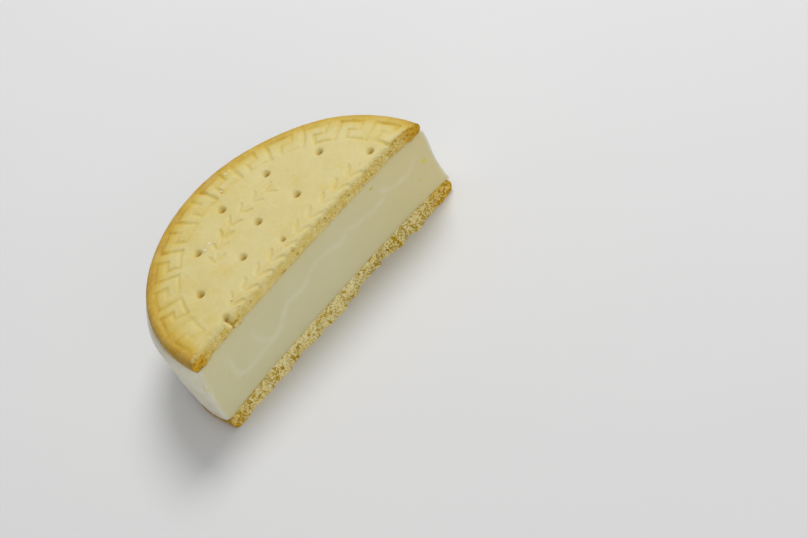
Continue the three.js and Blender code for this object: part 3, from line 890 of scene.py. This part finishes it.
def frozen(name):
    """Ice cream, smooth on the cut face and frosted on the wall, with swirls, stains and a painted
    warm reflection towards the face's right.
    """
    n = Nodes(name)
    patch = n.math("ADD", n.noise(2.2, 4, 0.6), -0.7)
    frost = n.math("MULTIPLY_ADD", n.value("frost"), 1.5, patch, clamp=True)
    tint = n.mix(n.noise(9, 2), *CREAM_TONES)
    smear = n.math("MULTIPLY_ADD", n.noise(7, 3, 0.5, (1, 1, 1.8)), 2.4, -0.7, clamp=True)
    white = n.mix(smear, *FROST_TONES)
    colour = n.mix(frost, tint, white)
    # Painted warm reflection towards the right of the cut face.
    colour = n.mix(n.math("MULTIPLY", n.value("warm"), 0.75), colour, CREAM_BOUNCE_TINT)
    colour = n.mix(n.math("MULTIPLY", n.value("swirl"), 0.38), colour, SWIRL_PALE)
    smudge = n.math("MULTIPLY_ADD", n.noise(0.8, 3, 0.6), 1.4, -0.25, clamp=True)
    smudge = n.math("MULTIPLY", n.value("stain"), smudge)
    colour = n.mix(smudge, colour, STAIN)
    grain = n.math("MULTIPLY_ADD", n.noise(0.8, 3, 0.6), 9.0, -5.4, clamp=True)
    grain = n.math("MULTIPLY", grain, n.math("MULTIPLY_ADD", n.noise(8, 3), 5.0, -2.4, clamp=True))
    grain = n.math("MULTIPLY", grain, frost)
    colour = n.mix(grain, colour, FROST_GRAIN)
    normal = n.bump(n.noise(0.5, 4, 0.7), 0.1, 0.3)
    normal = n.bump(n.noise(3.0, 3, 0.5, (1, 1, 1.6)), 0.2, 0.3, normal)
    normal = n.bump(grain, 0.25, 0.8, normal)
    rough = n.math("MULTIPLY_ADD", frost, 0.18, 0.42)
    n.shader.inputs["Subsurface Radius"].default_value = (1.0, 0.8, 0.5)
    return n.finish(colour, rough, normal, Subsurface_Weight=0.3, Subsurface_Scale=0.002,
                    Specular_IOR_Level=0.4)


def plain(name, colour, other, size, roughness=0.6):
    """Two colours in lumps about size millimetres across."""
    n = Nodes(name)
    mixed = n.mix(n.noise(size, 3), colour, other)
    normal = n.bump(n.noise(size / 2, 3), 0.1, 0.5)
    return n.finish(mixed, roughness, normal, Specular_IOR_Level=0.2)


# ---------------------------------------------------------------- the pieces

def flat_rise(x, y):
    """The lower biscuit's top, which is hidden, has no relief and no docks."""
    return 0 * x, 0 * x


def upper_rise(x, y):
    """Relief of the top against its smooth form, and how much each point is in a dock or a pressed
    line, where the crust is browner, partly as painted shade.
    """
    p = np.stack([x, y, 0 * x], 1)
    gentle = 0.1 * noise(p, 6.5, 51) + 0.05 * noise(p, 2.8, 52) + 0.016 * fractal(p, 0.9, 2, 53)
    dock, hole = dock_press(x, y)
    pattern = pattern_press(x, y)
    return gentle - pattern - dock, np.maximum(hole, 0.8 * pattern)


upper_rings = np.concatenate([np.arange(0, 33.4, 0.27), np.arange(33.4, 43.2, 0.2), [43.3]])
upper_body = biscuit(
    UPPER, upper_top, upper_under, upper_rise, upper_shift, upper_rings,
    {"top": 0.27, "under": 4.0},
    {"columns": 780, "rows": 40, "cell": 0.62, "seed": 71, "gap": 0.05, "pit": 0.3, "shade": 0.2,
     "pitted": 0.95, "lumps": 0.05, "rind": 0.0, "crust": True, "smear": -0.4, "proud": 0.1,
     "bevel": 0.2,
     "wild": [(-45, 1.9), (-38, 1.0), (-26, 0.8), (-20, 0.4), (0, 0.4), (6, 0.8), (28, 1.0),
              (34, 1.5), (45, 1.8)],
     "bake": [(-45, 1.0), (-40.8, 0.95), (-39.8, 0.4), (-38, 0.12), (-30, 0.05), (30, 0.05),
              (37, 0.15), (39.5, 0.6), (42, 0.9), (45, 1)],
     "ring": [(-45, 0.1), (45, 0.1)],
     "pits": [(-41.3, 24.1, 1.5, 1.0), (-42.3, 22.9, 1.2, 0.8), (-40.2, 23.6, 0.9, 0.7),
              (-37.2, 23.3, 0.6, 0.6), (8.2, 26.6, 1.0, 0.6), (22.4, 24.9, 0.8, 0.6),
              (17.5, 26, 0.9, 0.6), (29.4, 25.8, 0.6, 0.5), (31.2, 26.8, 0.6, 0.5),
              (33.3, 25.7, 0.9, 0.7), (39.4, 25.5, 0.9, 0.7), (40.8, 25.7, 1.2, 0.7),
              (42.2, 24.8, 1.6, 0.8), (41.2, 24.4, 0.7, 0.5)]},
)
upper_piece = upper_body.build(
    "upper_biscuit",
    [crust("baked_upper"),
     crumb("crumb_upper", pale=(0.88, 0.76, 0.345), gold=(0.81, 0.63, 0.17),
           deep=(0.64, 0.41, 0.035), brown=(0.76, 0.44, 0.035))],
)
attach(upper_piece, "root")
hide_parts("biscuit_top")

lower_rings = np.concatenate([np.arange(0, 43.2, 0.4), [43.3]])
lower_body = biscuit(
    LOWER, lower_top, lower_under, flat_rise, lower_shift, lower_rings,
    {"top": 0.6, "under": 0.8},
    {"columns": 820, "rows": 48, "cell": 0.8, "seed": 72, "gap": 0.17, "pit": 0.35, "shade": 0.7,
     "pitted": 0.91, "lumps": 0.14, "rind": 0.1, "crust": False, "smear": 0.3, "proud": 0.06,
     "bevel": 0,
     "wild": [(-45, 1.7), (-36, 1.4), (-28, 1.1), (-10, 0.9), (4, 1.1), (16, 1.5), (30, 1.6),
              (45, 1.5)],
     "bake": [(-45, 0.75), (-42, 0.55), (-40, 0.32), (-36, 0.16), (-28, 0.03), (8, -0.05),
              (24, 0), (33, 0.1), (38.3, 0.25), (39.5, 0.55), (43, 0.55), (46, 0.7)],
     "ring": [(-45, 0.2), (-40, 0.15), (-36, 0), (37.5, 0), (39, 0.5), (46, 0.6)],
     "pits": [(-41.3, 1.2, 1.4, 1.0), (-42.2, 2.0, 0.8, 0.6), (-40.4, 0.4, 1.0, 0.6),
              (-36.9, 1.3, 0.9, 0.9), (-33.2, 1.3, 2.0, 1.0), (-26.1, 1.1, 1.7, 1.0),
              (-27.4, 0.6, 0.9, 0.7), (-28.2, 2.1, 0.9, 0.7), (-12.2, 2.8, 1.0, 1.1),
              (-11, 1.8, 0.8, 0.9), (-8.7, 3.3, 0.9, 0.8), (13.9, 1.4, 1.0, 0.8),
              (16.3, 3.0, 0.9, 1.0), (18.4, 1.7, 1.6, 1.1), (27.5, 1.7, 0.9, 1.8),
              (29.7, 3.6, 1.0, 1.1), (34.1, 2.8, 0.8, 0.8), (35.5, 2.2, 0.8, 0.9),
              (39.9, 3.1, 1.0, 1.9), (45.0, 2.8, 1.0, 1.0)]},
)
lower_piece = lower_body.build(
    "lower_biscuit",
    [crust("baked_lower"),
     crumb("crumb_lower", pale=(0.98, 0.90, 0.52), gold=(0.95, 0.79, 0.29),
           deep=(0.57, 0.37, 0.012), brown=(0.86, 0.56, 0.05))],
)
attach(lower_piece, "root")
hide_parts("biscuit_bottom")

cream_piece = cream().build("ice_cream_layer", [frozen("frozen_cream")])
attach(cream_piece, "root")
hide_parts("ice_cream")

# Yellow specks in the cut face, as (x, y, z, size).
yellow = [(42.2, CUT_Y, 14.6, 1.5), (38.4, CUT_Y, 11.0, 0.6), (24.2, CUT_Y, 21.6, 0.9)]
speck_piece = bits("yellow_specks", yellow, 81,
                   plain("speck_yellow", (0.78, 0.70, 0.06), (0.84, 0.78, 0.16), 0.8),
                   (1, 0.25, 1))
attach(speck_piece, "root")

# Pale yellow streaks: near the left end of the cut face, and on the wall round the corner.
streak = [(-36.6, CUT_Y, 12.8, 0.6), (-36.5, CUT_Y, 13.5, 0.8), (-36.3, CUT_Y, 14.4, 0.9),
          (-36.4, CUT_Y, 15.2, 0.7), (-39.8, CUT_Y, 18.4, 0.7)]
# The wall's streaks are two rows of grains along paths, with a number and a size for each row.
WALL_STREAKS = [[(-44.53, 4.89, 17.67), (-44.28, 3.6, 17.05), (-43.9, 2.54, 16.3)],
                [(-43.95, 2.08, 15.58), (-43.91, 1.68, 14.85), (-43.74, 1.32, 14.17)]]
WALL_GRAINS = [(9, 0.6), (6, 0.9)]
for path, (count, size) in zip(WALL_STREAKS, WALL_GRAINS):
    ways = np.linspace(0, 1, len(path))
    for way in np.linspace(0, 1, count):
        streak.append((*(float(np.interp(way, ways, axis)) for axis in zip(*path)), size))
streak_piece = bits("pale_streaks", streak, 83,
                    plain("streak_yellow", (0.84, 0.80, 0.36), (0.88, 0.85, 0.5), 0.8),
                    (0.5, 0.4, 1))
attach(streak_piece, "root")

# Loose crumbs that lie on the top, as (x, y, size), and three on the cut face.
white_spots = [(-12.4, 24.6, 0.8), (-13.4, 24.2, 0.7), (-14.6, 23.9, 0.9), (8.6, 39.4, 0.9),
               (10.0, 39.3, 0.7), (3.2, 35.3, 0.7), (-24.0, 4.2, 0.6)]
white = [(x, y, float(upper_top(np.array(x), np.array(y))), s) for x, y, s in white_spots]
white += [(8.8, CUT_Y + 0.1, 25.2, 0.9), (19.0, CUT_Y, 11.0, 0.5), (31.1, CUT_Y + 0.3, 27.4, 0.7)]
crumb_piece = bits("white_crumbs", white, 82,
                   plain("crumb_white", (0.78, 0.70, 0.45), (0.86, 0.80, 0.60), 0.6, 0.95),
                   (1.1, 0.9, 0.35))
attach(crumb_piece, "root")

# ---------------------------------------------------------------- floor, light and camera

# In metres and watts; a light's direction is from AIM, the middle of the half, towards the light.
FLOOR = 3
FLOOR_GREYS = ((0.755,) * 3, (0.775,) * 3)
SKY = 0.415
AIM = [0, 0, 0.015]

floor_mesh = bpy.data.meshes.new("floor")
floor_mesh.from_pydata(
    [(-FLOOR, -FLOOR, 0), (FLOOR, -FLOOR, 0), (FLOOR, FLOOR, 0), (-FLOOR, FLOOR, 0)],
    [], [(0, 1, 2, 3)],
)
floor = bpy.data.objects.new("floor", floor_mesh)
bpy.context.scene.collection.objects.link(floor)
floor_mesh.materials.append(plain("floor_paint", *FLOOR_GREYS, 60, 0.7))

world = bpy.data.worlds.new("studio")
bpy.context.scene.world = world
world.use_nodes = True
sky = world.node_tree.nodes["Background"].inputs
sky["Color"].default_value = (1.0, 1.0, 1.0, 1)
sky["Strength"].default_value = SKY


def lamp(name, direction, distance, size, power):
    """A round white light that looks at AIM."""
    data = bpy.data.lights.new(name, "AREA")
    data.shape = "DISK"
    data.size = size
    data.energy = power
    made = bpy.data.objects.new(name, data)
    d = np.array(direction, float) / np.linalg.norm(direction)
    made.location = d * distance + AIM
    made.rotation_mode = "QUATERNION"
    made.rotation_quaternion = Vector(d).to_track_quat("Z", "Y")
    bpy.context.scene.collection.objects.link(made)


lamp("key", (0.54, 0.22, 0.81), distance=0.9, size=0.45, power=4.85)
lamp("front", (-0.35, -0.75, 0.4), distance=1.2, size=1.0, power=2.25)

view = bpy.context.scene.view_settings
view.view_transform = "Standard"

# The camera that was fitted to the photo: its place in the millimetres above, how it is turned,
# and its focal length and the photo's width in pixels.
CAMERA_PLACE = [-228.36, -453.25, 447.09]
CAMERA_TURN = (
    (0.62647552, 0.68975884, -0.36298922),
    (-0.69601122, 0.28542364, -0.65886397),
    (-0.35085154, 0.66540671, 0.65889081),
)
FOCAL = 2600
PHOTO_WIDTH = 808

camera_data = bpy.data.cameras.new("camera")
camera_data.sensor_width = 36
camera_data.lens = 36 * FOCAL / PHOTO_WIDTH
camera = bpy.data.objects.new("camera", camera_data)
bpy.context.scene.collection.objects.link(camera)
spot = (np.array(CAMERA_PLACE) + ORIGIN) * MM
camera.matrix_world = Matrix.Translation(spot.tolist()) @ Matrix(CAMERA_TURN).to_4x4()
bpy.context.scene.camera = camera
